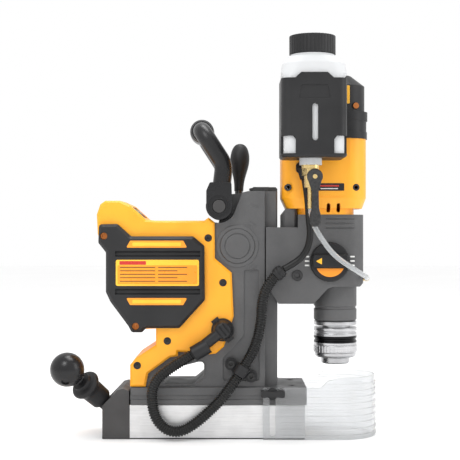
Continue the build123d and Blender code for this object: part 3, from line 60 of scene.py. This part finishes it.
# ---------------------------------------------------------------- materials
class Shader:
    """One Principled material, with short calls for the node chains that the materials share."""

    def __init__(self, name, **uniform):
        self.material = bpy.data.materials.new(name)
        self.material.use_nodes = True
        self.tree = self.material.node_tree
        self.surface = self.tree.nodes["Principled BSDF"]
        self.place = self.tree.nodes.new("ShaderNodeTexCoord").outputs["Object"]
        for socket, value in uniform.items():
            self.surface.inputs[socket.replace("_", " ")].default_value = value

    def link(self, source, target):
        self.tree.links.new(source, target)

    def stretched(self, scale):
        """Object coordinates, scaled per axis, so that a grain can run one way."""
        mapping = self.tree.nodes.new("ShaderNodeMapping")
        mapping.inputs["Scale"].default_value = scale
        self.link(self.place, mapping.inputs["Vector"])
        return mapping.outputs["Vector"]

    def noise(self, scale, detail=4.0, stretch=(1, 1, 1), roughness=0.55):
        """Cloudy values about 0.5, scale being their count per metre."""
        node = self.tree.nodes.new("ShaderNodeTexNoise")
        node.inputs["Scale"].default_value = scale
        node.inputs["Detail"].default_value = detail
        node.inputs["Roughness"].default_value = roughness
        self.link(self.stretched(stretch), node.inputs["Vector"])
        return node.outputs["Fac"]

    def pits(self, scale):
        """Cells about one over scale metres across, 0 at their centres."""
        node = self.tree.nodes.new("ShaderNodeTexVoronoi")
        node.inputs["Scale"].default_value = scale
        self.link(self.place, node.inputs["Vector"])
        return node.outputs["Distance"]

    def rings(self, scale, distortion=0.0, direction="Z"):
        """Bands square to one axis, for turning marks and corrugations."""
        node = self.tree.nodes.new("ShaderNodeTexWave")
        node.wave_type, node.bands_direction = "BANDS", direction
        node.inputs["Scale"].default_value = scale
        node.inputs["Distortion"].default_value = distortion
        self.link(self.place, node.inputs["Vector"])
        return node.outputs["Fac"]

    def ramp(self, source, *stops):
        """A colour ramp from (position, value or colour) pairs."""
        node = self.tree.nodes.new("ShaderNodeValToRGB")
        band = node.color_ramp
        while len(band.elements) < len(stops):
            band.elements.new(0.5)
        for element, (position, value) in zip(band.elements, stops):
            element.position = position
            element.color = (*value, 1) if hasattr(value, "__len__") else (value, value, value, 1)
        self.link(source, node.inputs["Fac"])
        return node.outputs["Color"]

    def mix(self, share, first, second, blend="MIX"):
        """Colours blended by share; each argument is a socket, a number or a colour."""
        node = self.tree.nodes.new("ShaderNodeMix")
        node.data_type, node.blend_type = "RGBA", blend
        for socket, value in ((node.inputs[0], share), (node.inputs[6], first), (node.inputs[7], second)):
            if hasattr(value, "links"):
                self.link(value, socket)
            elif hasattr(value, "__len__"):
                socket.default_value = (*value, 1)
            else:
                socket.default_value = value
        return node.outputs[2]

    def height(self, axis="Z"):
        """The object's own X, Y or Z, in metres."""
        node = self.tree.nodes.new("ShaderNodeSeparateXYZ")
        self.link(self.place, node.inputs["Vector"])
        return node.outputs[axis]

    def between(self, value, low, high, soft=0.0002):
        """1 where value lies between low and high, 0 elsewhere."""
        steps = []
        for edge, sign in ((low, 1), (high, -1)):
            node = self.tree.nodes.new("ShaderNodeMapRange")
            node.inputs["From Min"].default_value = edge - sign * soft
            node.inputs["From Max"].default_value = edge + sign * soft
            self.link(value, node.inputs["Value"])
            steps.append(node.outputs["Result"])
        both = self.tree.nodes.new("ShaderNodeMath")
        both.operation = "MULTIPLY"
        self.link(steps[0], both.inputs[0])
        self.link(steps[1], both.inputs[1])
        return both.outputs["Value"]

    def softened(self, radius=0.5):
        """Surface normal with its sharp edges rounded over radius, in mm."""
        node = self.tree.nodes.new("ShaderNodeBevel")
        node.samples = 4
        node.inputs["Radius"].default_value = radius * mm
        return node.outputs["Normal"]

    def worn(self, colour, bare, amount=0.5):
        """Colour rubbed through to bare along its edges, in patches."""
        shape = self.tree.nodes.new("ShaderNodeNewGeometry")
        turned = self.tree.nodes.new("ShaderNodeVectorMath")
        turned.operation = "DOT_PRODUCT"
        self.link(shape.outputs["Normal"], turned.inputs[0])
        self.link(self.softened(0.6), turned.inputs[1])
        edge = self.ramp(turned.outputs["Value"], (0.80, amount), (0.985, 0.0))
        patchy = self.mix(1.0, edge, self.ramp(self.noise(90), (0.42, 0.15), (0.62, 1.0)), "MULTIPLY")
        return self.mix(patchy, colour, bare)

    def colour(self, value):
        self.link(value, self.surface.inputs["Base Color"])

    def roughness(self, source, low, high):
        """Roughness that runs from low to high with the source."""
        self.link(self.ramp(source, (0.3, low), (0.7, high)), self.surface.inputs["Roughness"])

    def bump(self, *layers):
        """Layers of (height source, distance in mm, strength), stacked on softened edges."""
        last = self.softened()
        for source, distance, strength in layers:
            node = self.tree.nodes.new("ShaderNodeBump")
            node.inputs["Distance"].default_value = distance * mm
            node.inputs["Strength"].default_value = strength
            self.link(source, node.inputs["Height"])
            self.link(last, node.inputs["Normal"])
            last = node.outputs["Normal"]
        self.link(last, self.surface.inputs["Normal"])


def moulded(name, dark, light, gloss=0.42, grain=900, depth=0.05, wear=None, **uniform):
    """Injection-moulded plastic: fine spark-eroded grain, slightly uneven colour and gloss."""
    s = Shader(name, **uniform)
    tone = s.ramp(s.noise(14, 3), (0.35, dark), (0.65, light))
    s.colour(s.worn(tone, wear, 0.35) if wear else tone)
    s.roughness(s.noise(45), gloss - 0.06, gloss + 0.08)
    s.bump((s.pits(grain), depth, 0.35), (s.noise(grain * 0.6, 2), depth, 0.25))
    return s.material


def cast_paint(name, dark, light, bare, gloss=0.5, **uniform):
    """Paint over a sand-blasted casting, thin on its edges."""
    s = Shader(name, Metallic=0.15, **uniform)
    tone = s.ramp(s.noise(20, 5), (0.32, dark), (0.68, light))
    speck = s.ramp(s.noise(1600, 2), (0.35, 0.82), (0.7, 1.0))
    s.colour(s.worn(s.mix(1.0, tone, speck, "MULTIPLY"), bare, 0.5))
    s.roughness(s.noise(60, 5), gloss - 0.08, gloss + 0.12)
    s.bump((s.noise(650, 4), 0.09, 0.5), (s.noise(70, 3), 0.15, 0.2))
    return s.material


def metal(name, dark, light, gloss=0.28, stretch=(1, 1, 1), scale=700, marks=0.02, **uniform):
    """Machined or brushed metal: a fine grain along the axis whose stretch is small."""
    s = Shader(name, Metallic=1.0, **uniform)
    brushed = s.noise(scale, 3, stretch)
    s.colour(s.mix(0.35, s.ramp(s.noise(18, 4), (0.3, dark), (0.7, light)),
                   s.ramp(brushed, (0.35, dark), (0.65, light))))
    s.roughness(brushed, gloss - 0.08, gloss + 0.14)
    s.bump((brushed, marks, 0.35))
    return s.material


def magnet_steel():
    """Ground pole steel: brushed lengthwise, with a painted line of shade along its bottom edge, where it
    meets the floor.
    """
    s = Shader("magnet_steel", Metallic=0.85)
    brushed = s.noise(260, 4, (0.12, 1, 3))
    tone = s.mix(0.5, s.ramp(brushed, (0.3, (0.52, 0.52, 0.53)), (0.7, (0.76, 0.76, 0.76))),
                 s.ramp(s.noise(40, 5), (0.3, (0.54, 0.54, 0.54)), (0.7, (0.78, 0.78, 0.78))))
    # painted shade: a near-black band over the bottom 1.4 mm, where the block sits on the floor
    painted_floor_shade = s.between(s.height(), -0.01, 0.0014)
    s.colour(s.mix(painted_floor_shade, tone, (0.06, 0.06, 0.06)))
    s.roughness(brushed, 0.3, 0.5)
    s.bump((brushed, 0.03, 0.4))
    return s.material


def sleeve_steel():
    """Turned chuck sleeve: silver, with one blackened ring."""
    low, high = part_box("chuck_sleeve")
    top = high.z - low.z
    s = Shader("sleeve_steel", Metallic=0.95)
    turned = s.noise(700, 3, (0.02, 0.02, 1))
    ring = s.between(s.height(), low.z + 0.4 * top, low.z + 0.67 * top)
    silver = s.ramp(turned, (0.3, (0.38, 0.38, 0.39)), (0.7, (0.66, 0.66, 0.67)))
    s.colour(s.mix(ring, silver, (0.015, 0.015, 0.016)))
    s.roughness(turned, 0.2, 0.34)
    s.bump((turned, 0.012, 0.2))
    return s.material


def screw_steel():
    """Blackened screws; the ones sunk in the bumper covers are coppery."""
    s = Shader("screw_steel", Metallic=0.9)
    grain = s.noise(400, 3)
    across = s.height("Y")
    sunk = s.mix(s.between(across, -0.06, -0.0465), s.between(across, 0.0465, 0.06), (1, 1, 1))
    s.colour(s.mix(sunk, s.ramp(grain, (0.3, (0.02, 0.02, 0.02)), (0.7, (0.06, 0.06, 0.06))),
                   s.ramp(grain, (0.3, (0.30, 0.09, 0.02)), (0.7, (0.48, 0.17, 0.05)))))
    s.roughness(grain, 0.3, 0.5)
    s.bump((grain, 0.02, 0.3))
    return s.material


def frosted(name, tint, clear, rough, depth=0.08, **uniform):
    """Blown or moulded clear plastic: slight waves in its wall, faintly hazed."""
    s = Shader(name, IOR=1.46, Transmission_Weight=clear, **uniform)
    haze = s.noise(35, 4)
    s.colour(s.ramp(haze, (0.3, tuple(0.96 * c for c in tint)), (0.7, tint)))
    s.roughness(haze, rough, rough + 0.12)
    s.bump((s.noise(22, 2), depth, 0.4), (s.noise(500, 2), 0.02, 0.15))
    return s.material


def wound_copper():
    """Enamelled windings: fine turns round the stator."""
    s = Shader("wound_copper", Metallic=0.9)
    turns = s.rings(260, 0.4)
    s.colour(s.ramp(turns, (0.2, (0.2, 0.06, 0.02)), (0.6, (0.75, 0.33, 0.13))))
    s.roughness(turns, 0.3, 0.5)
    s.bump((turns, 0.2, 0.6))
    return s.material


yellow = moulded("yellow_shell", (0.90, 0.36, 0.010), (0.98, 0.43, 0.018), gloss=0.4, grain=1100)
black = moulded("black_shell", (0.012, 0.012, 0.013), (0.020, 0.020, 0.021), gloss=0.44,
                wear=(0.08, 0.08, 0.08), Specular_IOR_Level=0.3)
satin_black = moulded("satin_black", (0.008, 0.008, 0.009), (0.014, 0.014, 0.015), gloss=0.27,
                      grain=700, depth=0.03, Specular_IOR_Level=0.35)
grip_rubber = moulded("grip_rubber", (0.010, 0.010, 0.011), (0.018, 0.018, 0.019), gloss=0.5,
                      grain=500, depth=0.08, Specular_IOR_Level=0.28)
ball_plastic = moulded("ball_plastic", (0.006, 0.006, 0.007), (0.011, 0.011, 0.012), gloss=0.26,
                       grain=400, depth=0.02, Specular_IOR_Level=0.35)
cord_rubber = moulded("cord_rubber", (0.007, 0.007, 0.007), (0.013, 0.013, 0.013), gloss=0.36,
                      grain=900, depth=0.04, Specular_IOR_Level=0.32)
printed = {"grain": 1500, "depth": 0.02}
trim_yellow = moulded("trim_yellow", (0.93, 0.45, 0.02), (0.99, 0.55, 0.04), gloss=0.32, **printed)
trim_orange = moulded("trim_orange", (0.86, 0.27, 0.010), (0.93, 0.33, 0.015), gloss=0.3, **printed)
trim_red = moulded("trim_red", (0.42, 0.018, 0.012), (0.56, 0.03, 0.02), gloss=0.3, **printed)
trim_white = moulded("trim_white", (0.72, 0.72, 0.70), (0.84, 0.84, 0.82), gloss=0.36, **printed)
polished = {"gloss": 0.26, "grain": 900, "depth": 0.02, "Coat_Weight": 0.3}
button_green = moulded("button_green", (0.02, 0.20, 0.05), (0.03, 0.28, 0.08), **polished)
button_red = moulded("button_red", (0.36, 0.012, 0.01), (0.5, 0.02, 0.016), **polished)
cast_grey = cast_paint("cast_grey", (0.085, 0.085, 0.087), (0.112, 0.112, 0.114), (0.32, 0.32, 0.32))
cast_dark = cast_paint("cast_dark", (0.040, 0.038, 0.038), (0.062, 0.060, 0.060), (0.2, 0.2, 0.2))
ground_steel = magnet_steel()
copper_screw = metal("copper_screw", (0.36, 0.11, 0.03), (0.56, 0.21, 0.07), gloss=0.34, scale=400)
steel = metal("steel", (0.38, 0.38, 0.39), (0.62, 0.62, 0.63), stretch=(0.02, 0.02, 1), marks=0.01)
dark_steel = metal("dark_steel", (0.035, 0.035, 0.036), (0.10, 0.10, 0.10), gloss=0.36, scale=400)
brass = metal("brass", (0.60, 0.42, 0.16), (0.85, 0.66, 0.32), gloss=0.26, scale=300)
bottle_plastic = frosted("bottle_plastic", (0.66, 0.67, 0.68), 0.1, 0.38,
                         Subsurface_Weight=0.25, Subsurface_Radius=(0.01, 0.01, 0.01))
tube_plastic = frosted("tube_plastic", (0.66, 0.68, 0.69), 0.6, 0.12, depth=0.03)
guard_plastic = frosted("guard_plastic", (0.90, 0.91, 0.92), 0.9, 0.08, depth=0.05)
copper = wound_copper()

looks = {
    ground_steel: "magnet_poles magnet_rotor",
    brass: "pole_spacer feed_bushes coolant_valve coolant_elbow",
    cast_grey: "base_housing column feed_plug gear_case nose motor_stay",
    cast_dark: "base_end_cap handle_button",
    yellow: "rear_housing_near rear_housing_far battery_pack motor_housing_near motor_housing_far",
    black: "battery_covers battery_latch battery_terminal control_panel cable_gland conduit_clamp "
           "bottle_holder motor_cap selector_dial bottle_cap thumb_screw_near thumb_screw_far",
    satin_black: "carry_handle",
    grip_rubber: "lock_collar feed_grips cable_boot",
    ball_plastic: "ball_knob",
    steel: "feed_shaft drive_bearings layshaft_gear spindle chuck_body",
    dark_steel: "slide_bar handle_pin lever_arm feed_hub drill_screws motor_rotor valve_lever",
    screw_steel(): "frame_screws",
    sleeve_steel(): "chuck_sleeve",
    button_green: "start_button",
    button_red: "stop_button",
    bottle_plastic: "coolant_bottle",
    guard_plastic: "guard_shield",
    copper: "stator",
}
for material, names in looks.items():
    for name in names.split():
        nodes[name].data.materials.clear()
        nodes[name].data.materials.append(material)


# ---------------------------------------------------------------- trim
def mesh_object(name, bm, material, body):
    """The bmesh as an object of this material and slot, riding on its body if one is named."""
    mesh = bpy.data.meshes.new(name)
    bm.to_mesh(mesh)
    bm.free()
    piece = bpy.data.objects.new(name, mesh)
    scene.collection.objects.link(piece)
    mesh.materials.append(material)
    if body:
        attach(piece, body)
    return piece


def rounded(corners, radius, steps=5):
    """The (x, z) corners as an outline with each corner turned into an arc."""
    outline = []
    for index, corner in enumerate(corners):
        here = Vector(corner)
        before = (Vector(corners[index - 1]) - here).normalized()
        after = (Vector(corners[(index + 1) % len(corners)]) - here).normalized()
        half = before.angle(after) / 2
        reach = radius / max(0.2, abs(sin(half) / cos(half)))
        start, end = here + before * reach, here + after * reach
        for step in range(steps + 1):
            t = step / steps
            outline.append(start * (1 - t) ** 2 + here * 2 * t * (1 - t) + end * t**2)
    return outline


def plate(name, corners, radius, face_y, proud, material, body, edge=0.25 * mm):
    """Thin plate on a face that looks along -Y or +Y, standing proud of it, with softened edges."""
    outward = -1 if face_y < 0 else 1
    bm = bmesh.new()
    face = bm.faces.new([bm.verts.new((p.x, face_y, p.y)) for p in rounded(corners, radius)])
    grown = bmesh.ops.extrude_face_region(bm, geom=[face])["geom"]
    bmesh.ops.translate(bm, vec=(0, outward * proud, 0),
                        verts=[v for v in grown if isinstance(v, bmesh.types.BMVert)])
    bmesh.ops.recalc_face_normals(bm, faces=bm.faces)
    piece = mesh_object(name, bm, material, body)
    bevel = piece.modifiers.new("softened", "BEVEL")
    bevel.width, bevel.segments, bevel.limit_method = min(edge, proud * 0.4), 2, "ANGLE"
    return piece


def block(centre, width, height):
    """Corners of an upright rectangle about an (x, z) centre."""
    x, z = centre
    return [(x - width / 2, z - height / 2), (x + width / 2, z - height / 2),
            (x + width / 2, z + height / 2), (x - width / 2, z + height / 2)]


def flat_mm(corners):
    """(x, z) corners given in mm, in metres."""
    return [(x * mm, z * mm) for x, z in corners]


def arc(centre, radius, start, end, step):
    """(x, z) places on a circle, from start to before end, in degrees."""
    return [(centre[0] + radius * cos(radians(a)), centre[1] + radius * sin(radians(a)))
            for a in range(start, end, step)]


# bumper inlays and a generic data plate on both covers
covers_low, covers_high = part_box("battery_covers")
cover_z = 190 * mm
plate_centre = (-67.7 * mm, cover_z)
inlay_left, inlay_right, inlay_slant = -103 * mm, -34 * mm, 4.5 * mm
inlay_gap, inlay_high = 28.4 * mm, 8 * mm
rules_left, top_rule, rule_pitch = -110, 6.2, 3.9     # mm, the rules' rows about the plate's middle
for side_name, face_y in (("near", covers_low.y), ("far", covers_high.y)):
    out = -1 if face_y < 0 else 1
    for level, up in (("upper", 1), ("lower", -1)):
        inner, outer = cover_z + up * inlay_gap, cover_z + up * (inlay_gap + inlay_high)
        corners = [(inlay_left, inner), (inlay_right, inner), (inlay_right - inlay_slant, outer),
                   (inlay_left + inlay_slant, outer)]
        if up < 0:
            corners.reverse()
        plate(f"inlay_{level}_{side_name}", corners, 1.4 * mm, face_y - out * 0.5 * mm, 0.9 * mm,
              trim_orange, "frame")
        centre = ((inlay_left + inlay_right) / 2, (inner + outer) / 2)
        plate(f"inlay_face_{level}_{side_name}", block(centre, 55 * mm, 4.2 * mm), 1.2 * mm,
              face_y + out * 0.3 * mm, 0.3 * mm, trim_yellow, "frame")
    plate(f"data_plate_{side_name}", block(plate_centre, 94 * mm, 29.5 * mm), 2.5 * mm,
          face_y - out * 0.3 * mm, 0.6 * mm, trim_yellow, "frame")
    layer = face_y + out * 0.24 * mm
    plate(f"data_field_{side_name}", block((plate_centre[0], cover_z - 2.2 * mm), 90 * mm, 21.5 * mm),
          1.6 * mm, layer, 0.12 * mm, trim_orange, "frame")
    plate(f"data_patch_{side_name}", block((-95.5 * mm, cover_z + 11.2 * mm), 30 * mm, 4.2 * mm),
          0.8 * mm, layer, 0.12 * mm, trim_red, "frame")
    for row in range(5):
        rule_z = cover_z + (top_rule - rule_pitch * row) * mm
        for start, width in ((0, 40), (43, 22 if row % 2 else 33)):
            centre = ((rules_left + start + width / 2) * mm, rule_z)
            plate(f"data_rule_{row}_{start}_{side_name}", block(centre, width * mm, 0.9 * mm), 0.3 * mm,
                  layer + out * 0.1 * mm, 0.08 * mm, black, "frame")

# badge, cap strip and speed marks on the near side of the drill
near_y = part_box("motor_housing_near")[0].y
case_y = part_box("gear_case")[0].y
badge_corners = [(99, 283), (144, 283), (144, 291.5), (96.8, 291.5)]
plate("badge", flat_mm(badge_corners), 1 * mm, near_y + 0.2 * mm, 0.7 * mm,
      satin_black, "carriage")
plate("badge_stripe_red", block((125 * mm, 288.6 * mm), 26 * mm, 1.8 * mm), 0.5 * mm,
      near_y - 0.4 * mm, 0.2 * mm, trim_red, "carriage")
plate("badge_stripe_white", block((127 * mm, 285.4 * mm), 20 * mm, 1.1 * mm), 0.4 * mm,
      near_y - 0.4 * mm, 0.2 * mm, trim_white, "carriage")
lowest_mark_z, mark_pitch = 198, 5
for column, x in enumerate((102.4, 154.1)):
    for row in range(3):
        mark = block((x * mm, (lowest_mark_z + mark_pitch * row) * mm), 5.2 * mm, 1.8 * mm)
        plate(f"speed_mark_{column}_{row}", mark, 0.5 * mm, case_y + 0.1 * mm, 0.3 * mm,
              trim_white, "carriage")

# yellow strip and a coppery screw on the motor's cap
cap_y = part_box("motor_cap")[0].y
plate("cap_strip", block((148.5 * mm, 392.6 * mm), 3.8 * mm, 20.5 * mm), 0.8 * mm, cap_y + 2.2 * mm, 0.7 * mm,
      trim_yellow, "carriage")
cap_screw_centre, cap_screw_radius = (157.7 * mm, 380 * mm), 3.4 * mm
plate("cap_screw", arc(cap_screw_centre, cap_screw_radius, 0, 360, 20), 0.1 * mm, cap_y + 3.2 * mm, 1 * mm,
      copper_screw, "carriage")


def arc_corners(centre, radius, start, end, width, steps=8):
    """Outline of a curved band, inner edge first, then the outer edge back."""
    turns = [radians(start + (end - start) * k / steps) for k in range(steps + 1)]
    inner = [(centre[0] + radius * cos(t), centre[1] + radius * sin(t)) for t in turns]
    outer = [(centre[0] + (radius + width) * cos(t), centre[1] + (radius + width) * sin(t)) for t in turns]
    return inner + outer[::-1]


# short raised arcs cast round the plug on the column
plug_low, plug_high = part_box("feed_plug")
plug_place = ((plug_low.x + plug_high.x) / 2, (plug_low.z + plug_high.z) / 2)
column_y, rib_width = -36 * mm, 0.9 * mm
for radius, start, end in ((27, 52, 74), (31, 48, 66), (27, -72, -48), (31, -64, -44), (50, 62, 72)):
    bm = bmesh.new()
    corners = arc_corners(plug_place, radius * mm, start, end, rib_width)
    count = len(corners)
    back = [bm.verts.new((x, column_y + 0.1 * mm, z)) for x, z in corners]
    front = [bm.verts.new((x, column_y - 0.5 * mm, z)) for x, z in corners]
    for k in range(count):
        bm.faces.new((back[k], back[(k + 1) % count], front[(k + 1) % count], front[k]))
    for k in range(count // 2 - 1):
        bm.faces.new((front[k], front[k + 1], front[count - 2 - k], front[count - 1 - k]))
        bm.faces.new((back[k], back[k + 1], back[count - 2 - k], back[count - 1 - k]))
    bmesh.ops.recalc_face_normals(bm, faces=bm.faces)
    mesh_object(f"cast_rib_{radius}_{start + 100}", bm, cast_grey, "frame")

# selector dial: orange half and pointer
dial_low, dial_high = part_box("selector_dial")
dial_x, dial_z = (dial_low.x + dial_high.x) / 2, (dial_low.z + dial_high.z) / 2
half_radius, rim_y = 17 * mm, -43.2 * mm
plate("dial_half", arc((dial_x, dial_z), half_radius, 205, 336, 10), 0.4 * mm, rim_y, 1.2 * mm,
      trim_orange, "dial")
pointer_corners = [(111.6, 203), (118.4, 199.2), (118.4, 206.8)]
plate("dial_pointer", flat_mm(pointer_corners), 0.6 * mm, dial_low.y + 0.2 * mm, 0.3 * mm,
      trim_yellow, "dial")

# ---------------------------------------------------------------- conduit, cable and coolant tube
def points_mm(*points):
    """Places given in mm, in metres."""
    return [Vector(p) * mm for p in points]


cable_radius, tube_radius = 3.75 * mm, 2.9 * mm
clamp_centre = Vector((27, -48, 78.5)) * mm
clamp_along = Vector((15, 2, 23.5)).normalized()
clamp_out, above_clamp = clamp_centre + clamp_along * 8 * mm, clamp_centre + clamp_along * 27 * mm
conduit_lower_route = points_mm(
    (-27, -53, 98.5), (-59, -54, 80), (-73.9, -54.5, 62.5), (-73.5, -54.5, 38), (-66.5, -54, 20),
    (-51.5, -54, 9.8), (-33, -53.5, 13.5), (-8, -52.5, 34), (12, -50, 55),
) + [clamp_out]
conduit_upper_route = [clamp_out, above_clamp] + points_mm(
    (49.5, -50, 130), (50.5, -50.5, 160), (57, -50.5, 176.5), (66, -50.5, 186.5),
)
cable_route = points_mm(
    (74.5, -51, 194), (88, -52, 201), (100, -53, 212.5), (105.5, -53.5, 231), (103, -53.5, 253),
    (102, -53.5, 275), (98.5, -52.5, 296),
)
coolant_route = points_mm(
    (103, -84, 262), (104.6, -84, 247), (113.5, -84, 231), (128, -83, 211), (148, -78, 197),
    (161, -66, 189.5), (171, -43, 184), (173.6, -10.6, 182),
)


def centreline(name, route):
    """Points along the smooth curve that a cord takes through its route."""
    data = bpy.data.curves.new(name, "CURVE")
    data.dimensions, data.resolution_u = "3D", 24
    spline = data.splines.new("NURBS")
    spline.points.add(len(route) - 1)
    for point, place in zip(spline.points, route):
        point.co = (*place, 1)
    spline.order_u = 3
    spline.use_endpoint_u = True
    curve = bpy.data.objects.new(name, data)
    scene.collection.objects.link(curve)
    line = bpy.data.meshes.new_from_object(curve)
    points = [v.co.copy() for v in line.vertices]
    bpy.data.objects.remove(curve)
    return points


def run_length(points):
    """Length of a line of points."""
    return sum((b - a).length for a, b in zip(points, points[1:]))


def at_distance(points, distance):
    """The place and direction this far along a line of points."""
    for a, b in zip(points, points[1:]):
        step = (b - a).length
        if distance <= step or b is points[-1]:
            return a + (b - a) * (distance / step), (b - a).normalized()
        distance -= step


def hose(name, points, radius_at, spacing, body, material, sides=28):
    """Mesh tube along the points, whose radius is radius_at(distance); its frame doesn't twist."""
    length = run_length(points)
    count = max(2, round(length / spacing))
    bm = bmesh.new()
    across, rings = None, []
    for index in range(count + 1):
        distance = length * index / count
        place, along = at_distance(points, min(distance, length - 1e-7))
        across = (along.orthogonal() if across is None else across - along * across.dot(along)).normalized()
        other = along.cross(across)
        radius = radius_at(distance)
        rings.append([
            bm.verts.new(place + (across * cos(turn) + other * sin(turn)) * radius)
            for turn in (2 * pi * k / sides for k in range(sides))
        ])
    for lower, upper in zip(rings, rings[1:]):
        for k in range(sides):
            bm.faces.new((lower[k], lower[(k + 1) % sides], upper[(k + 1) % sides], upper[k]))
    bm.faces.new(reversed(rings[0]))
    bm.faces.new(rings[-1])
    piece = mesh_object(name, bm, material, body)
    piece.data.polygons.foreach_set("use_smooth", [True] * len(piece.data.polygons))
    return piece


def corrugated(distance, middle=5.8, half_depth=0.5, pitch=2.8):
    """Square-ish ridges, in mm."""
    wave = sin(2 * pi * distance / (pitch * mm))
    return (middle + half_depth * max(-1.0, min(1.0, 1.8 * wave))) * mm


def flexes(piece):
    """Bakes the placement of a cord that runs between the frame and the drill carriage, from the saddle clamp
    to the drill's boot, into its mesh; the cord does not bend.
    """
    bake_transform(piece)


conduit_line = centreline("conduit_line", conduit_lower_route)[:-1] + centreline(
    "conduit_line", conduit_upper_route)
cable_line = centreline("cable_line", cable_route)
coolant_line = centreline("coolant_line", coolant_route)
conduit = hose("conduit", conduit_line, corrugated, 0.35 * mm, None, cord_rubber)
cable = hose("cable", cable_line, lambda distance: cable_radius, 2 * mm, None,
             cord_rubber)
coolant_hose = hose("coolant_hose", coolant_line, lambda distance: tube_radius, 2 * mm, "carriage",
                    tube_plastic)


def ferrule_radius(distance):
    """Sleeve that closes the conduit: two raised bands and a tapered nose."""
    if distance < 1.2 * mm:
        return 7.2 * mm
    if distance > 9 * mm:
        return (7.6 - 0.9 * (distance / mm - 9)) * mm
    return (7.8 if 2.4 * mm < distance < 4.6 * mm or 6 * mm < distance < 8 * mm else 7.2) * mm


ferrule = hose("ferrule", [conduit_upper_route[-1], cable_route[0]], ferrule_radius, 0.4 * mm, None,
               black)
for piece in (conduit, cable, ferrule):
    flexes(piece)
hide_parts("conduit_lower", "conduit_upper")
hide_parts("drill_cable")
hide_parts("conduit_ferrule")
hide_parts("coolant_tube")

# ---------------------------------------------------------------- floor, lights and camera
def floor_paper():
    """Plain matt white paper."""
    s = Shader("floor_paper")
    s.colour(s.ramp(s.noise(3, 3), (0.3, (0.965, 0.965, 0.965)), (0.7, (0.98, 0.98, 0.98))))
    s.roughness(s.noise(30), 0.6, 0.75)
    s.bump((s.noise(300), 0.05, 0.1))
    return s.material


floor_half, floor_gap, backdrop_strength = 6, 0.2 * mm, 1.0
bm = bmesh.new()
bmesh.ops.create_grid(bm, x_segments=8, y_segments=8, size=floor_half)
bmesh.ops.translate(bm, vec=(0, 0, -floor_gap), verts=bm.verts)
floor_mesh = bpy.data.meshes.new("floor")
bm.to_mesh(floor_mesh)
bm.free()
floor = bpy.data.objects.new("floor", floor_mesh)
floor_mesh.materials.append(floor_paper())
scene.collection.objects.link(floor)

world = bpy.data.worlds.new("studio")
scene.world = world
world.use_nodes = True
backdrop = world.node_tree.nodes["Background"]
backdrop.inputs["Color"].default_value = (1, 1, 1, 1)
backdrop.inputs["Strength"].default_value = backdrop_strength


def softbox(name, place, target, size, power):
    """Rectangular area light at place, turned to face target."""
    light = bpy.data.objects.new(name, bpy.data.lights.new(name, "AREA"))
    light.data.shape, light.data.size, light.data.size_y = "RECTANGLE", *size
    light.data.energy = power
    light.location = place
    light.rotation_euler = (Vector(target) - Vector(place)).to_track_quat("-Z", "Y").to_euler()
    scene.collection.objects.link(light)


softbox("key", (-0.5, -1.1, 1.3), (0, 0, 0.2), (0.6, 0.6), 8)
softbox("top", (0.1, 0.1, 1.6), (0, 0, 0.2), (1.0, 0.6), 12)
softbox("side", (1.3, -0.5, 0.7), (0.05, 0, 0.2), (0.5, 1.0), 4)

camera = bpy.data.objects.new("camera", bpy.data.cameras.new("camera"))
camera.location = (0.0143, -1.290, 0.2384)
camera.rotation_euler = (radians(90), 0, 0)
camera.data.lens = 85.8
scene.collection.objects.link(camera)
scene.camera = camera
